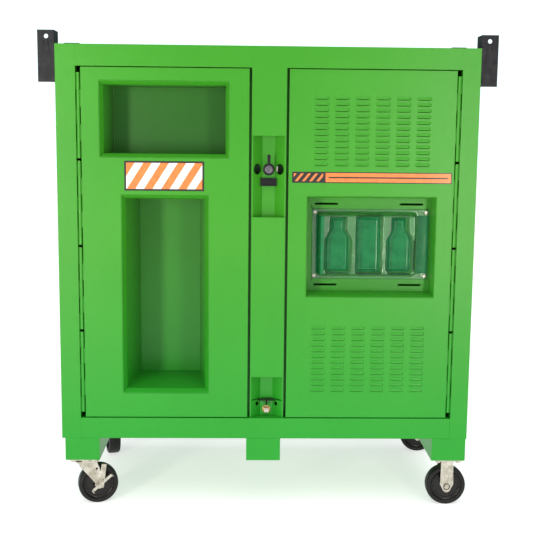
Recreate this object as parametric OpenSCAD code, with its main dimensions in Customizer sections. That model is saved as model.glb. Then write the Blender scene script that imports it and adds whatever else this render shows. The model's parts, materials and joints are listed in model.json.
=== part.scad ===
// Rolling steel jobsite cabinet with a centre lock post, two recessed doors, skids and casters.
// Front faces -Y, +X is to the right of someone facing the doors, +Z is up, the floor is z = 0.

/* [Body] */
// Width of the steel body
body_w = 1524; // [1400:4:1900]
// Depth of the steel body
body_d = 762; // [680:2:960]
// Height of the steel body, without skids and casters
body_h = 1448; // [1400:2:1800]
// Thickness of the body sheet
sheet = 2; // [1.5:0.5:3]
// Front width of the left corner post
left_post_w = 71; // [60:1:90]
// Front width of the right corner post
right_post_w = 64.5; // [60:0.5:90]
// Depth of the folds behind the front frame
fold_d = 45; // [44:1:46]
// Height of the top rail
top_rail_h = 76.5; // [70:0.5:90]
// Height of the bottom rail
bottom_rail_h = 78.5; // [70:0.5:90]

/* [Skids] */
// Height of the skids
skid_h = 86; // [70:1:110]
// Width of the skids
skid_w = 128; // [124:1:140]
// Thickness of the skid sheet
skid_t = 3; // [2:0.5:5]
// Distance of the left skid from the left side
left_skid_inset = 11; // [0:1:20]
// Distance of the right skid from the right side
right_skid_inset = 3; // [0:1:20]
// Middle skid's centre, from the centre of the body
middle_skid_x = -8; // [-20:1:20]

/* [Doors] */
// Gap between a corner post and its door, which holds the hinge
hinge_gap = 18; // [17:0.5:22]
// Gap between a door and the cover of the lock post
door_gap = 9.5; // [8:0.5:12]
// Gap above and below each door
door_end_gap = 3; // [2:0.5:5]
// How far the door skins sit behind the front frame
door_setback = 3; // [2:0.5:4]
// Thickness of a door
door_t = 42; // [38:1:42]
// Width of the lip folded round the back of a door
door_lip = 40; // [38:1:45]
// Thickness of the door sheet and the recess pans
door_sheet = 2; // [1.5:0.5:3]

/* [Recesses] */
// Width of the bevel round the first-aid and extinguisher bays
bevel_w = 12; // [8:1:16]
// Width of the bevel round the eyewash bay
eye_bevel_w = 5; // [3:1:6]
// Depth of the bevel round each recess
bevel_d = 22; // [15:1:30]
// Width of the first-aid bay
aid_w = 465; // [380:5:480]
// Height of the first-aid bay
aid_h = 271; // [200:1:280]
// Height of the first-aid bay's lower edge above the door's lower edge
aid_z = 968; // [960:1:980]
// Depth of the first-aid bay
aid_d = 180; // [100:5:185]
// Distance of the first-aid bay from the door's free edge
aid_x = 73.5; // [68:0.5:80]
// Width of the extinguisher bay
ext_w = 315; // [250:5:360]
// Height of the extinguisher bay
ext_h = 738; // [600:2:780]
// Height of the extinguisher bay's lower edge above the door's lower edge
ext_z = 93; // [80:1:120]
// Depth of the extinguisher bay
ext_d = 255; // [180:5:290]
// Distance of the extinguisher bay from the door's hinge edge
ext_x = 142; // [120:1:160]
// Width of the eyewash bay
eye_w = 473; // [420:1:480]
// Height of the eyewash bay
eye_h = 370; // [320:1:390]
// Height of the eyewash bay's lower edge above the door's lower edge
eye_z = 461; // [450:1:480]
// Depth of the eyewash bay
eye_d = 92; // [80:1:120]
// Distance of the eyewash bay from the door's free edge
eye_x = 70; // [68:1:80]

/* [Louvres] */
// Columns of louvres in each field
louvre_cols = 6; // [3:1:6]
// Rows of louvres in each field
louvre_rows = 12; // [6:1:12]
// Length of one slit
louvre_w = 44; // [30:1:50]
// Height of one slit
louvre_slit = 3; // [2:0.5:5]
// Distance between columns
louvre_px = 74; // [70:0.5:75]
// Distance between rows
louvre_pz = 21.6; // [18:0.2:21.6]

/* [Hinges] */
// Radius of a hinge knuckle
knuckle_r = 6; // [5:0.5:6.5]
// Radius of a hinge pin
hinge_pin_r = 3.5; // [3:0.25:4]
// Number of hinges on each door
hinge_count = 4; // [3:1:4]
// Length of one hinge
hinge_len = 305; // [240:1:308]

/* [Lock post] */
// Width of the flush covers on the lock post
cover_w = 125; // [120:1:130]
// Depth of the flush covers
cover_d = 12; // [10:1:14]
// Thickness of the lock post sheet
post_t = 3; // [2:0.5:4]
// Lower edge of the top cover above the body's floor
top_cover_z = 1130.5; // [1125:0.5:1140]
// Upper edge of the middle cover above the body's floor
mid_cover_z1 = 835.5; // [800:0.5:850]
// Lower edge of the middle cover above the body's floor
mid_cover_z0 = 236.5; // [230:0.5:250]
// Height of the handle's spindle above the body's floor
handle_z = 1009.5; // [1000:0.5:1015]
// Height of the lower latch's spindle above the body's floor
lower_latch_z = 101.5; // [100:0.5:110]
// Radius of the latch spindles
spindle_r = 8; // [7:0.5:9]
// Reach of the latch cams from their spindles
cam_reach = 90; // [86:1:92]
// Distance of the connecting rod's pins from the spindles
crank_r = 25; // [22:1:28]

/* [Lifting angles] */
// Height of a lifting angle
lug_h = 182; // [150:1:220]
// Width of a lifting angle's front plate
lug_w = 60; // [50:1:80]
// Length of a lifting angle's side leg
lug_leg = 76; // [60:1:100]
// Thickness of a lifting angle
lug_t = 8; // [6:1:10]
// How far a lifting angle stands above the roof
lug_rise = 47; // [40:1:60]
// Radius of the lifting hole
lug_hole_r = 8; // [6:0.5:10]
// Front face of the rear lifting angles, from the front of the body
rear_lug_y = 512; // [450:1:560]

/* [Casters] */
// Overall height of a caster
caster_h = 190.5; // [186:0.5:200]
// Radius of a wheel
wheel_r = 76; // [70:1:76]
// Width of a wheel's tread
wheel_w = 50; // [40:1:52]
// Width of a wheel's hub
hub_w = 58; // [56:1:60]
// Radius of the axle bolts
axle_r = 6; // [5:0.5:7]
// Distance of the caster centres from the front and back of the body
caster_inset = 66.5; // [60:0.5:80]
// Distance of a swivel caster's axle from its swivel axis
swivel_lead = 46; // [40:1:48]
// Turn of the front swivel caster at rest
front_swivel_turn = 15; // [-30:1:30]
// Turn of the rear swivel caster at rest
rear_swivel_turn = -74; // [-110:1:-60]

/* [Shelves] */
// Distance of the shelves' front edge from the front of the body
shelf_front = 306; // [305:1:340]
// Heights of the three shelves above the body's floor
shelf_zs = [360, 730, 1100]; // [300:10:1150]

/* [Hidden] */
$fn = 48;

green = [0.33, 0.74, 0.27];
inner_green = [0.25, 0.60, 0.25];
black = [0.12, 0.12, 0.13];
zinc = [0.72, 0.70, 0.66];

// Levels and planes
fit = 0.05;
eps = 1;
floor_z = caster_h + skid_h;
top_z = floor_z + body_h;
half_w = body_w / 2;
front_y = -body_d / 2;
back_y = body_d / 2;
open_z0 = floor_z + bottom_rail_h;
open_z1 = top_z - top_rail_h;
function deep(d) = front_y + d;

// Doors: side -1 is the left door and side 1 is the right one
left_open = -half_w + left_post_w;
right_open = half_w - right_post_w;
door_gap_mid = cover_w / 2 + door_gap;
lock_x = (left_open + right_open) / 2;
door_z0 = open_z0 + door_end_gap;
door_z1 = open_z1 - door_end_gap;
skin_d = door_setback;
door_back_d = door_setback + door_t;
function open_x(side) = side < 0 ? left_open : right_open;
function hinge_x(side) = open_x(side) - side * hinge_gap / 2;
function hinge_edge(side) = open_x(side) - side * hinge_gap;
function free_edge(side) = lock_x + side * door_gap_mid;
hinge_d = knuckle_r + 0.5;

// Lock post: half widths and depths of its folded channel
wall_half = cover_w / 2 + 0.5;
crest_half = wall_half - 5;
flat_half = 23;
channel_d = fold_d + 3;
flange_half = door_gap_mid + door_lip - 2;
slant_dx = crest_half - flat_half;
slant_dy = channel_d - cover_d;
slant_len = norm([slant_dx, slant_dy]);
slant_shift = post_t * slant_len / slant_dy;
cam_d = channel_d + post_t + 5;
cam_t = 6;
rod_d = cam_d + cam_t + 1;
rod_t = 4;
strike_d = rod_d;
rear_cover_d = rod_d + 32;
top_cover_bottom = floor_z + top_cover_z;
mid_cover_top = floor_z + mid_cover_z1;
mid_cover_bottom = floor_z + mid_cover_z0;
handle_h = floor_z + handle_z;
lower_h = floor_z + lower_latch_z;
strike_in = flange_half - 34;
strike_out = flange_half - 12;

// Casters
plate_t = 6;
plate_x = 102;
plate_y = 114;
bolt_x = 76;
bolt_y = 90;
bolt_r = 5;
leg_in = hub_w / 2 + 1;
leg_t = 5;
race_z = caster_h - plate_t;
crown_z = wheel_r * 2 + 16;
skid_left_x = -half_w + left_skid_inset + skid_w / 2;
skid_right_x = half_w - right_skid_inset - skid_w / 2;
front_caster_y = deep(caster_inset);
rear_caster_y = back_y - caster_inset;
rear_swivel_x = skid_left_x + 10;
rigid_x = skid_right_x + 5;
kingpin_r = 8;

module block(x0, x1, y0, y1, z0, z1) {
    translate([min(x0, x1), y0, z0]) cube([abs(x1 - x0), y1 - y0, z1 - z0]);
}

// Solid between two rectangles [x0, x1, z0, z1], one at depth d0 and one at depth d1
module frustum(a, b, d0, d1) {
    pts = concat(
        [for (q = [[0, 2], [1, 2], [1, 3], [0, 3]]) [a[q[0]], deep(d0), a[q[1]]]],
        [for (q = [[0, 2], [1, 2], [1, 3], [0, 3]]) [b[q[0]], deep(d1), b[q[1]]]]);
    polyhedron(pts, [[3, 2, 1, 0], [4, 5, 6, 7], [0, 1, 5, 4], [1, 2, 6, 5], [2, 3, 7, 6], [3, 0, 4, 7]]);
}

function grow(r, g) = [r[0] - g, r[1] + g, r[2] - g, r[3] + g];
function narrow(r, nx, nz) = [r[0] + nx, r[1] - nx, r[2] + nz, r[3] - nz];

// ---- Shell ----

module side_panel(side) {
    open = open_x(side);
    wall = side * (half_w - sheet);
    difference() {
        union() {
            block(side * half_w, wall, front_y, back_y, floor_z, top_z);
            block(open, wall, front_y, deep(sheet), floor_z, top_z);
            block(open, open + side * sheet, deep(sheet), deep(fold_d), floor_z + sheet, top_z - sheet);
        }
        lug_bolt_positions(side) rotate([0, 90, 0]) cylinder(r = bolt_r + fit, h = 40, center = true);
    }
}

module left_side_panel() color(green) side_panel(-1);
module right_side_panel() color(green) side_panel(1);

module back_panel() color(green)
    block(-half_w + sheet, half_w - sheet, back_y - sheet, back_y, floor_z, top_z);

module roof_panel() color(green)
    block(-half_w + sheet, half_w - sheet, deep(sheet), back_y - sheet, top_z - sheet, top_z);

module floor_panel() color(green)
    block(-half_w + sheet, half_w - sheet, deep(sheet), back_y - sheet, floor_z, floor_z + sheet);

// Fold behind a rail at height z0, left out where the lock post passes
module rail_fold(z0) {
    block(left_open, lock_x - wall_half, deep(sheet), deep(fold_d), z0, z0 + sheet);
    block(lock_x + wall_half, right_open, deep(sheet), deep(fold_d), z0, z0 + sheet);
}

// Folded flush cover over the lock post between two heights
module cover(z0, z1) {
    half = cover_w / 2;
    block(lock_x - half, lock_x + half, front_y, deep(sheet), z0, z1);
    for (s = [-1, 1]) block(lock_x + s * half, lock_x + s * (half - sheet), deep(sheet), deep(cover_d), z0, z1);
}

module top_rail() color(green) {
    block(left_open, right_open, front_y, deep(sheet), open_z1, top_z);
    rail_fold(open_z1);
    cover(top_cover_bottom, open_z1 + eps);
    block(lock_x - cover_w / 2, lock_x + cover_w / 2, deep(sheet), deep(cover_d),
        top_cover_bottom, top_cover_bottom + sheet);
}

module bottom_rail() color(green) {
    block(left_open, right_open, front_y, deep(sheet), floor_z, open_z0);
    rail_fold(open_z0 - sheet);
    block(lock_x - wall_half, lock_x + wall_half, deep(sheet), deep(cover_d), open_z0 - sheet, open_z0);
    translate([lock_x, front_y, open_z0 - sheet]) linear_extrude(sheet)
        polygon([[-crest_half, cover_d], [crest_half, cover_d],
            [flat_half, channel_d], [-flat_half, channel_d]]);
}

// Half of the lock post's folded section, from its flange to its middle
post_half = [[flange_half, channel_d], [wall_half, channel_d], [wall_half, cover_d],
    [crest_half, cover_d], [flat_half, channel_d]];
post_rear_x = flat_half - post_t * slant_dx / slant_dy + slant_shift;
post_rear_y = channel_d - (wall_half - post_t - flat_half - slant_shift) * slant_dy / slant_dx;
post_back = [[post_rear_x, channel_d + post_t], [wall_half - post_t, post_rear_y],
    [wall_half - post_t, channel_d + post_t], [flange_half, channel_d + post_t]];
function mirrored(pts) = [for (i = [len(pts) - 1:-1:0]) [-pts[i][0], pts[i][1]]];

// Centre of a slanted face of the lock post
module on_slant(side, x) {
    depth = cover_d + (crest_half - x) * slant_dy / slant_dx;
    translate([lock_x + side * x, deep(depth), 0])
        rotate([0, 0, -side * atan2(slant_dy, slant_dx)]) children();
}

module lock_post() color(inner_green) difference() {
    translate([lock_x, front_y, floor_z + sheet]) linear_extrude(body_h - 2 * sheet)
        polygon(concat(post_half, mirrored(post_half), mirrored(post_back), post_back));
    for (z = [handle_h, lower_h])
        translate([lock_x, deep(channel_d), z]) rotate([90, 0, 0])
            cylinder(r = spindle_r + 4 + fit, h = 20, center = true);
    for (s = [-1, 1]) {
        on_slant(s, (crest_half + flat_half) / 2) translate([0, 0, handle_h]) rotate([90, 0, 0])
            cylinder(r = 20, h = 14, center = true);
        on_slant(s, flat_half + 12) translate([0, 0, lower_h + 24]) rotate([90, 0, 0])
            cylinder(r = 8, h = 14, center = true);
        block(lock_x + s * (strike_in - 6), lock_x + s * (strike_out + 3), deep(channel_d - eps),
            deep(channel_d + post_t + eps), handle_h - 46, handle_h + 46);
        block(lock_x + s * (strike_in - 6), lock_x + s * (strike_out + 3), deep(channel_d - eps),
            deep(channel_d + post_t + eps), door_z0, lower_h + 46);
        block(lock_x + s * (crest_half - 2), lock_x + s * (flat_half + 12), deep(0), deep(channel_d - 2),
            lower_h + 40, lower_h + 44);
    }
}

module post_cover() color(green) {
    cover(mid_cover_bottom, mid_cover_top);
    for (z = [mid_cover_bottom, mid_cover_top - sheet])
        block(lock_x - cover_w / 2 + sheet, lock_x + cover_w / 2 - sheet, deep(sheet), deep(cover_d),
            z, z + sheet);
}

module post_rear_cover() color(inner_green) difference() {
    block(lock_x - flange_half, lock_x + flange_half, deep(channel_d + post_t), deep(rear_cover_d),
        floor_z + sheet, top_z - sheet);
    block(lock_x - flange_half + sheet, lock_x + flange_half - sheet, deep(channel_d + post_t - eps),
        deep(rear_cover_d - sheet), floor_z, top_z);
}

// ---- Skids ----

module skid(x) color(green) difference() {
    block(x - skid_w / 2, x + skid_w / 2, front_y, back_y, caster_h, floor_z);
    block(x - skid_w / 2 + skid_t, x + skid_w / 2 - skid_t, deep(skid_t), back_y - skid_t,
        caster_h + skid_t, floor_z + eps);
    caster_bolt_positions() cylinder(r = bolt_r + fit, h = 60, center = true);
}

module skid_left() skid(skid_left_x);
module skid_middle() skid(middle_skid_x);
module skid_right() skid(skid_right_x);

// ---- Shelves ----

standard_w = 30;
standard_d = 14;
side_standard_ys = [deep(shelf_front) + 70, back_y - 80];
back_standard_xs = [-half_w / 3, half_w / 3];
standard_z0 = floor_z + 40;
standard_z1 = top_z - 60;
shelf_lip = 30;
slot_pitch = 75;

// Folded upright with its back on the plane x = 0, opening towards that plane
module standard() difference() {
    translate([0, -standard_w / 2, standard_z0]) cube([standard_d, standard_w, standard_z1 - standard_z0]);
    translate([-eps, -standard_w / 2 + sheet, standard_z0 - eps])
        cube([standard_d - sheet + eps, standard_w - 2 * sheet, standard_z1 - standard_z0 + 2 * eps]);
    for (z = [standard_z0 + 25:slot_pitch:standard_z1 - 25])
        translate([standard_d - sheet - eps, -3, z]) cube([sheet + 2 * eps, 6, 16]);
}

// Angle clip under a shelf, its back on the plane x = 0
module clip(z) translate([0, -standard_w / 2, z]) {
    translate([0, 0, -22]) cube([3, standard_w, 22]);
    translate([3, 0, -3]) cube([16, standard_w, 3]);
}

module support() {
    standard();
    for (z = shelf_zs) translate([standard_d, 0, 0]) clip(floor_z + z);
}

module shelf_supports() color(inner_green) {
    for (y = side_standard_ys) {
        translate([-half_w + sheet, y, 0]) support();
        translate([half_w - sheet, y, 0]) mirror([1, 0, 0]) support();
    }
    for (x = back_standard_xs) translate([x, back_y - sheet, 0]) rotate([0, 0, -90]) support();
}

module shelf(z) color(inner_green) {
    x1 = half_w - sheet - standard_d - 4;
    y0 = deep(shelf_front);
    y1 = back_y - sheet - standard_d - 4;
    block(-x1, x1, y0, y1, floor_z + z, floor_z + z + sheet);
    block(-x1, x1, y0, y0 + sheet, floor_z + z - shelf_lip, floor_z + z);
    block(-x1, x1, y0, y0 + 15, floor_z + z - shelf_lip, floor_z + z - shelf_lip + sheet);
}

module shelf_lower() shelf(shelf_zs[0]);
module shelf_middle() shelf(shelf_zs[1]);
module shelf_upper() shelf(shelf_zs[2]);

// ---- Lifting angles ----

lug_z0 = top_z + lug_rise - lug_h;
lug_depths = [0, rear_lug_y];
lug_hole_drop = 22;

// Places of the bolts that hold the lifting angles of one side
module lug_bolt_positions(side) {
    for (d = lug_depths, z = [30, lug_h - lug_rise - 35])
        translate([side * half_w, deep(d + lug_t + (lug_leg - lug_t) / 2), lug_z0 + z]) children();
}

module lug(side, depth) color(black) difference() {
    union() {
        block(side * half_w, side * (half_w + lug_w), deep(depth), deep(depth + lug_t),
            lug_z0, lug_z0 + lug_h);
        block(side * half_w, side * (half_w + lug_t), deep(depth), deep(depth + lug_leg),
            lug_z0, lug_z0 + lug_h);
    }
    translate([side * (half_w + (lug_w + lug_t) / 2 - 5), deep(depth), lug_z0 + lug_h - lug_hole_drop])
        rotate([90, 0, 0]) cylinder(r = lug_hole_r, h = 3 * lug_t, center = true);
    lug_bolt_positions(side) rotate([0, 90, 0]) cylinder(r = bolt_r + fit, h = 40, center = true);
}

module lug_front_left() lug(-1, lug_depths[0]);
module lug_front_right() lug(1, lug_depths[0]);
module lug_rear_left() lug(-1, lug_depths[1]);
module lug_rear_right() lug(1, lug_depths[1]);

// Hexagon bolt along +Z with its head's seat at z = 0 and a nut at the far side of the grip
module bolt(grip) {
    translate([0, 0, -7]) cylinder(r = bolt_r * 1.9, h = 7, $fn = 6);
    cylinder(r = bolt_r, h = grip + 10);
    translate([0, 0, grip]) cylinder(r = bolt_r * 1.9, h = 8, $fn = 6);
}

module lug_bolts() color(zinc) for (s = [-1, 1])
    lug_bolt_positions(s) translate([s * lug_t, 0, 0]) rotate([0, -s * 90, 0]) bolt(lug_t + sheet);

// ---- Hinges ----

knuckles = 5;
hinge_pitch = (door_z1 - door_z0 - 30) / hinge_count;
knuckle_len = hinge_len / knuckles;
knuckle_gap = 0.6;
leaf_d0 = hinge_d + knuckle_r + 2.5;
leaf_d1 = fold_d - 3;
function hinge_z(i) = door_z0 + 15 + hinge_pitch * (i + 0.5) - hinge_len / 2;

// Knuckles of one leaf: first is 0 for the frame's and 1 for the door's, plate is the leaf's outer face
module hinge_leaf(side, first, plate, inward) color(green) for (i = [0:hinge_count - 1]) {
    z0 = hinge_z(i);
    block(plate, plate + inward * 2, deep(leaf_d0), deep(leaf_d1), z0, z0 + hinge_len);
    for (k = [first:2:knuckles - 1]) difference() {
        union() {
            translate([hinge_x(side), deep(hinge_d), z0 + k * knuckle_len + knuckle_gap / 2])
                cylinder(r = knuckle_r, h = knuckle_len - knuckle_gap);
            block(plate, plate + inward * (hinge_gap / 2 - hinge_pin_r - 0.8),
                deep(hinge_d), deep(leaf_d0 + eps),
                z0 + k * knuckle_len + knuckle_gap / 2, z0 + (k + 1) * knuckle_len - knuckle_gap / 2);
        }
        translate([hinge_x(side), deep(hinge_d), z0 - eps])
            cylinder(r = hinge_pin_r + fit, h = hinge_len + 2 * eps);
    }
}

module left_hinge_frame_leaf() hinge_leaf(-1, 0, left_open, 1);
module right_hinge_frame_leaf() hinge_leaf(1, 0, right_open, -1);
module left_hinge_door_leaf() hinge_leaf(-1, 1, hinge_edge(-1), -1);
module right_hinge_door_leaf() hinge_leaf(1, 1, hinge_edge(1), 1);

module hinge_pins() color(zinc) for (s = [-1, 1], i = [0:hinge_count - 1])
    translate([hinge_x(s), deep(hinge_d), hinge_z(i)]) cylinder(r = hinge_pin_r, h = hinge_len);

// ---- Doors ----

// Openings of the recesses as [x0, x1, z0, z1]
aid_open = [free_edge(-1) - aid_x - aid_w, free_edge(-1) - aid_x, door_z0 + aid_z, door_z0 + aid_z + aid_h];
ext_open = [hinge_edge(-1) + ext_x, hinge_edge(-1) + ext_x + ext_w, door_z0 + ext_z, door_z0 + ext_z + ext_h];
eye_open = [free_edge(1) + eye_x, free_edge(1) + eye_x + eye_w, door_z0 + eye_z, door_z0 + eye_z + eye_h];
louvre_x = (hinge_edge(1) + free_edge(1) - louvre_px * (louvre_cols - 1)) / 2;
upper_louvre_z = door_z0 + 1184;
lower_louvre_z = door_z0 + 342;

module door_shell(side, open_list) difference() {
    x0 = min(hinge_edge(side), free_edge(side));
    x1 = max(hinge_edge(side), free_edge(side));
    block(x0, x1, deep(skin_d), deep(door_back_d), door_z0, door_z1);
    block(x0 + door_sheet, x1 - door_sheet, deep(skin_d + door_sheet), deep(door_back_d - door_sheet),
        door_z0 + door_sheet, door_z1 - door_sheet);
    block(x0 + door_lip, x1 - door_lip, deep(door_back_d - 2 * door_sheet), deep(door_back_d + eps),
        door_z0 + door_lip, door_z1 - door_lip);
    for (r = open_list) let (g = grow(r, door_sheet))
        block(g[0], g[1], deep(skin_d - eps), deep(skin_d + door_sheet + eps), g[2], g[3]);
}

module left_door_skin() color(green) door_shell(-1, [aid_open, ext_open]);

module louvre_slits()
    for (z0 = [upper_louvre_z, lower_louvre_z], r = [0:louvre_rows - 1], c = [0:louvre_cols - 1])
        block(louvre_x + c * louvre_px - louvre_w / 2, louvre_x + c * louvre_px + louvre_w / 2,
            deep(skin_d - eps), deep(skin_d + door_sheet + eps),
            z0 - r * louvre_pz - louvre_slit, z0 - r * louvre_pz);

module right_door_skin() color(green) difference() {
    door_shell(1, [eye_open]);
    louvre_slits();
}

// How far each recess closes in behind its rim: left, right, bottom, top
aid_taper = [16, 0, 0, 3];
ext_taper = [29, 29, 13, 18];
eye_taper = [2, 2, 4, 4];

// Welded recess with a bevelled rim and walls that close in towards its back
module recess_pan(open, depth, bevel, taper) {
    rim = narrow(open, bevel, bevel);
    back = [rim[0] + taper[0], rim[1] - taper[1], rim[2] + taper[2], rim[3] - taper[3]];
    rim_d = skin_d + bevel_d;
    difference() {
        union() {
            frustum(grow(open, door_sheet), grow(rim, door_sheet), skin_d, rim_d);
            frustum(grow(rim, door_sheet), grow(back, door_sheet), rim_d, depth + door_sheet);
        }
        frustum(open, open, skin_d - eps, skin_d);
        frustum(open, rim, skin_d, rim_d);
        frustum(rim, back, rim_d, depth);
    }
}

module first_aid_pan() color(inner_green) recess_pan(aid_open, aid_d, bevel_w, aid_taper);
module extinguisher_pan() color(inner_green) recess_pan(ext_open, ext_d, bevel_w, ext_taper);

eye_slot_w = 86;
eye_slot_h = 7;
eye_mid = (eye_open[0] + eye_open[1]) / 2;
eye_mid_z = (eye_open[2] + eye_open[3]) / 2;

module eyewash_pan() color(inner_green) difference() {
    recess_pan(eye_open, eye_d, eye_bevel_w, eye_taper);
    for (sx = [-1, 1], sz = [-1, 1])
        translate([eye_mid + sx * 160 - eye_slot_w / 2, deep(eye_d - eps),
            eye_mid_z + sz * 153 - eye_slot_h / 2]) cube([eye_slot_w, door_sheet + 2 * eps, eye_slot_h]);
    tray_screw_positions() rotate([-90, 0, 0]) cylinder(r = screw_r + fit, h = 40, center = true);
}

channel_w = 36;
channel_h = 22;

// Stiffening channel fixed across the inside of a door skin, centred on height z
module door_channel(side, z) {
    x0 = min(hinge_edge(side), free_edge(side)) + door_sheet + 2;
    x1 = max(hinge_edge(side), free_edge(side)) - door_sheet - 2;
    d0 = skin_d + door_sheet;
    difference() {
        block(x0, x1, deep(d0), deep(d0 + channel_h), z - channel_w / 2, z + channel_w / 2);
        block(x0 - eps, x1 + eps, deep(d0 - eps), deep(d0 + channel_h - sheet),
            z - channel_w / 2 + sheet, z + channel_w / 2 - sheet);
    }
}

module left_door_channel() color(inner_green) {
    door_channel(-1, (ext_open[3] + aid_open[2]) / 2);
    door_channel(-1, (ext_open[2] + door_z0) / 2);
}

module right_door_channels() color(inner_green) {
    door_channel(1, (eye_open[3] + upper_louvre_z - louvre_rows * louvre_pz) / 2 + 8);
    door_channel(1, (eye_open[2] + lower_louvre_z) / 2);
}

strike_t = 3;

// Hooked strike on the back of a door's free edge between two heights
module strike(side, z0, z1) {
    base_d = door_back_d;
    block(lock_x + side * (strike_out - 8), lock_x + side * (strike_out + 2),
        deep(base_d), deep(base_d + 2), z0, z1);
    block(lock_x + side * (strike_out - strike_t), lock_x + side * strike_out, deep(base_d + 1),
        deep(strike_d + strike_t), z0, z1);
    block(lock_x + side * strike_in, lock_x + side * strike_out,
        deep(strike_d), deep(strike_d + strike_t), z0, z1);
}

module latch_strikes(side) color(zinc) {
    strike(side, handle_h - 40, handle_h + 40);
    strike(side, door_z0 + 4, lower_h + 40);
}

module left_latch_strikes() latch_strikes(-1);
module right_latch_strikes() latch_strikes(1);

// ---- Eyewash bottle tray ----

tray_w = 440;
tray_h = 264;
tray_d = 48;
tray_wall = 3;
screw_r = 2.5;
tray_mid = eye_mid + 7;
tray_z = eye_mid_z + 2;
pocket_w = 106;
bottle_xs = [-124, 107];
raised_x = -13;
middle_x = -9;

module tray_screw_positions() for (sx = [-1, 1], sz = [-1, 1])
    translate([tray_mid + sx * (tray_w / 2 - 11), deep(eye_d), tray_z + sz * (tray_h / 2 - 12)]) children();

// Bottle pocket outline: a body with rounded corners below a narrower neck
module bottle_outline() {
    offset(r = 10) offset(delta = -10) {
        translate([-pocket_w / 2, -111]) square([pocket_w, 130]);
        polygon([[-pocket_w / 2, 18], [pocket_w / 2, 18], [34, 60], [34, 108], [-34, 108], [-34, 60]]);
    }
}

module bottle_tray() color([0.8, 0.95, 0.85, 0.5]) difference() {
    union() {
        translate([tray_mid, deep(eye_d), tray_z]) rotate([90, 0, 0]) linear_extrude(tray_wall)
            square([tray_w, tray_h], center = true);
        translate([tray_mid + raised_x, deep(eye_d - tray_wall), tray_z]) rotate([90, 0, 0])
            linear_extrude(tray_d - tray_wall) square([tray_w - 66, tray_h - 22], center = true);
    }
    for (x = bottle_xs) translate([tray_mid + x, deep(eye_d - tray_wall), tray_z]) rotate([90, 0, 0])
        linear_extrude(tray_d) bottle_outline();
    translate([tray_mid + middle_x, deep(eye_d - tray_wall), tray_z]) rotate([90, 0, 0])
        linear_extrude(tray_d) square([102, 220], center = true);
    tray_screw_positions() rotate([90, 0, 0]) cylinder(r = screw_r + fit, h = 40, center = true);
}

module tray_screws() color(zinc) tray_screw_positions() rotate([90, 0, 0]) {
    translate([0, 0, -10]) cylinder(r = screw_r, h = 10 + tray_wall);
    translate([0, 0, tray_wall]) cylinder(r = 5.5, h = 2.5);
}

// ---- Lock ----

knob_d = 4;
knob_t = 10;
lever_len = 54;
bush_r = spindle_r + 4;
cam_half = 12;
crank_pin_r = 4;

// Cylinder along +Y from depth d0 to depth d1 at height z
module round_y(x, z, d0, d1, r) translate([x, deep(d0), z]) rotate([-90, 0, 0]) cylinder(r = r, h = d1 - d0);

module latch_handle() color(black) {
    round_y(lock_x, handle_h, knob_d, knob_d + knob_t, 22);
    round_y(lock_x, handle_h, knob_d - 3, knob_d, 17);
    block(lock_x - 6.5, lock_x + 6.5, deep(knob_d), deep(cover_d - 1), handle_h, handle_h + lever_len - 6.5);
    round_y(lock_x, handle_h + lever_len - 6.5, knob_d, cover_d - 1, 6.5);
    round_y(lock_x, handle_h, knob_d + knob_t, cam_d, spindle_r);
}

// Latch bar with its crank pin, for a spindle at height z
module cam(z) {
    block(lock_x - cam_half, lock_x + cam_half, deep(cam_d), deep(cam_d + cam_t), z - cam_reach, z + cam_reach);
    block(lock_x, lock_x + crank_r + 9, deep(cam_d), deep(cam_d + cam_t), z - 10, z + 10);
    round_y(lock_x + crank_r, z, cam_d + cam_t, rod_d + rod_t + 2, crank_pin_r);
}

module upper_cam() color(zinc) cam(handle_h);

module lower_cam() color(zinc) {
    cam(lower_h);
    round_y(lock_x, lower_h, channel_d - 6, cam_d, spindle_r);
    block(lock_x - 8, lock_x + 8, deep(channel_d - 20), deep(channel_d - 6), lower_h - 8, lower_h + 8);
}

module spindle_bushings() color("goldenrod") for (z = [handle_h, lower_h]) difference() {
    union() {
        round_y(lock_x, z, channel_d - 4, channel_d, bush_r + 3);
        round_y(lock_x, z, channel_d, cam_d - 1, bush_r);
    }
    round_y(lock_x, z, 0, cam_d + 10, spindle_r + fit);
}

module link_rod() color(zinc) difference() {
    union() {
        block(lock_x + crank_r - 8, lock_x + crank_r + 8, deep(rod_d), deep(rod_d + rod_t), lower_h, handle_h);
        for (z = [lower_h, handle_h]) round_y(lock_x + crank_r, z, rod_d, rod_d + rod_t, 8);
    }
    round_y(lock_x + crank_r, handle_h, rod_d - eps, rod_d + rod_t + eps, crank_pin_r + fit);
    round_y(lock_x + crank_r, lower_h, rod_d - eps, rod_d + rod_t + eps, crank_pin_r + 6 * fit);
}

guard_z = handle_h - 47.5;

module lock_guards() {
    color(black) difference() {
        union() {
            block(lock_x - 29, lock_x + 29, deep(channel_d - 15), deep(channel_d - 7),
                guard_z - 14.5, guard_z + 14.5);
            block(lock_x - 21, lock_x + 21, deep(channel_d - 7), deep(channel_d),
                guard_z - 14.5, guard_z + 14.5);
        }
        block(lock_x - 25, lock_x + 25, deep(0), deep(channel_d - 10), guard_z - 10.5, guard_z + 10.5);
    }
    color(green) {
        block(lock_x - 33, lock_x + 33, deep(cover_d + 2), deep(channel_d - 11), lower_h + 41, lower_h + 44);
        block(lock_x - 21, lock_x + 21, deep(channel_d - 11), deep(channel_d), lower_h + 41, lower_h + 44);
        translate([lock_x - 2.5, front_y, lower_h]) rotate([90, 0, 90]) linear_extrude(5)
            polygon([[cover_d + 4, 41], [channel_d, 41], [channel_d, 20], [channel_d - 16, 20]]);
    }
}

// ---- Casters ----

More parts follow.
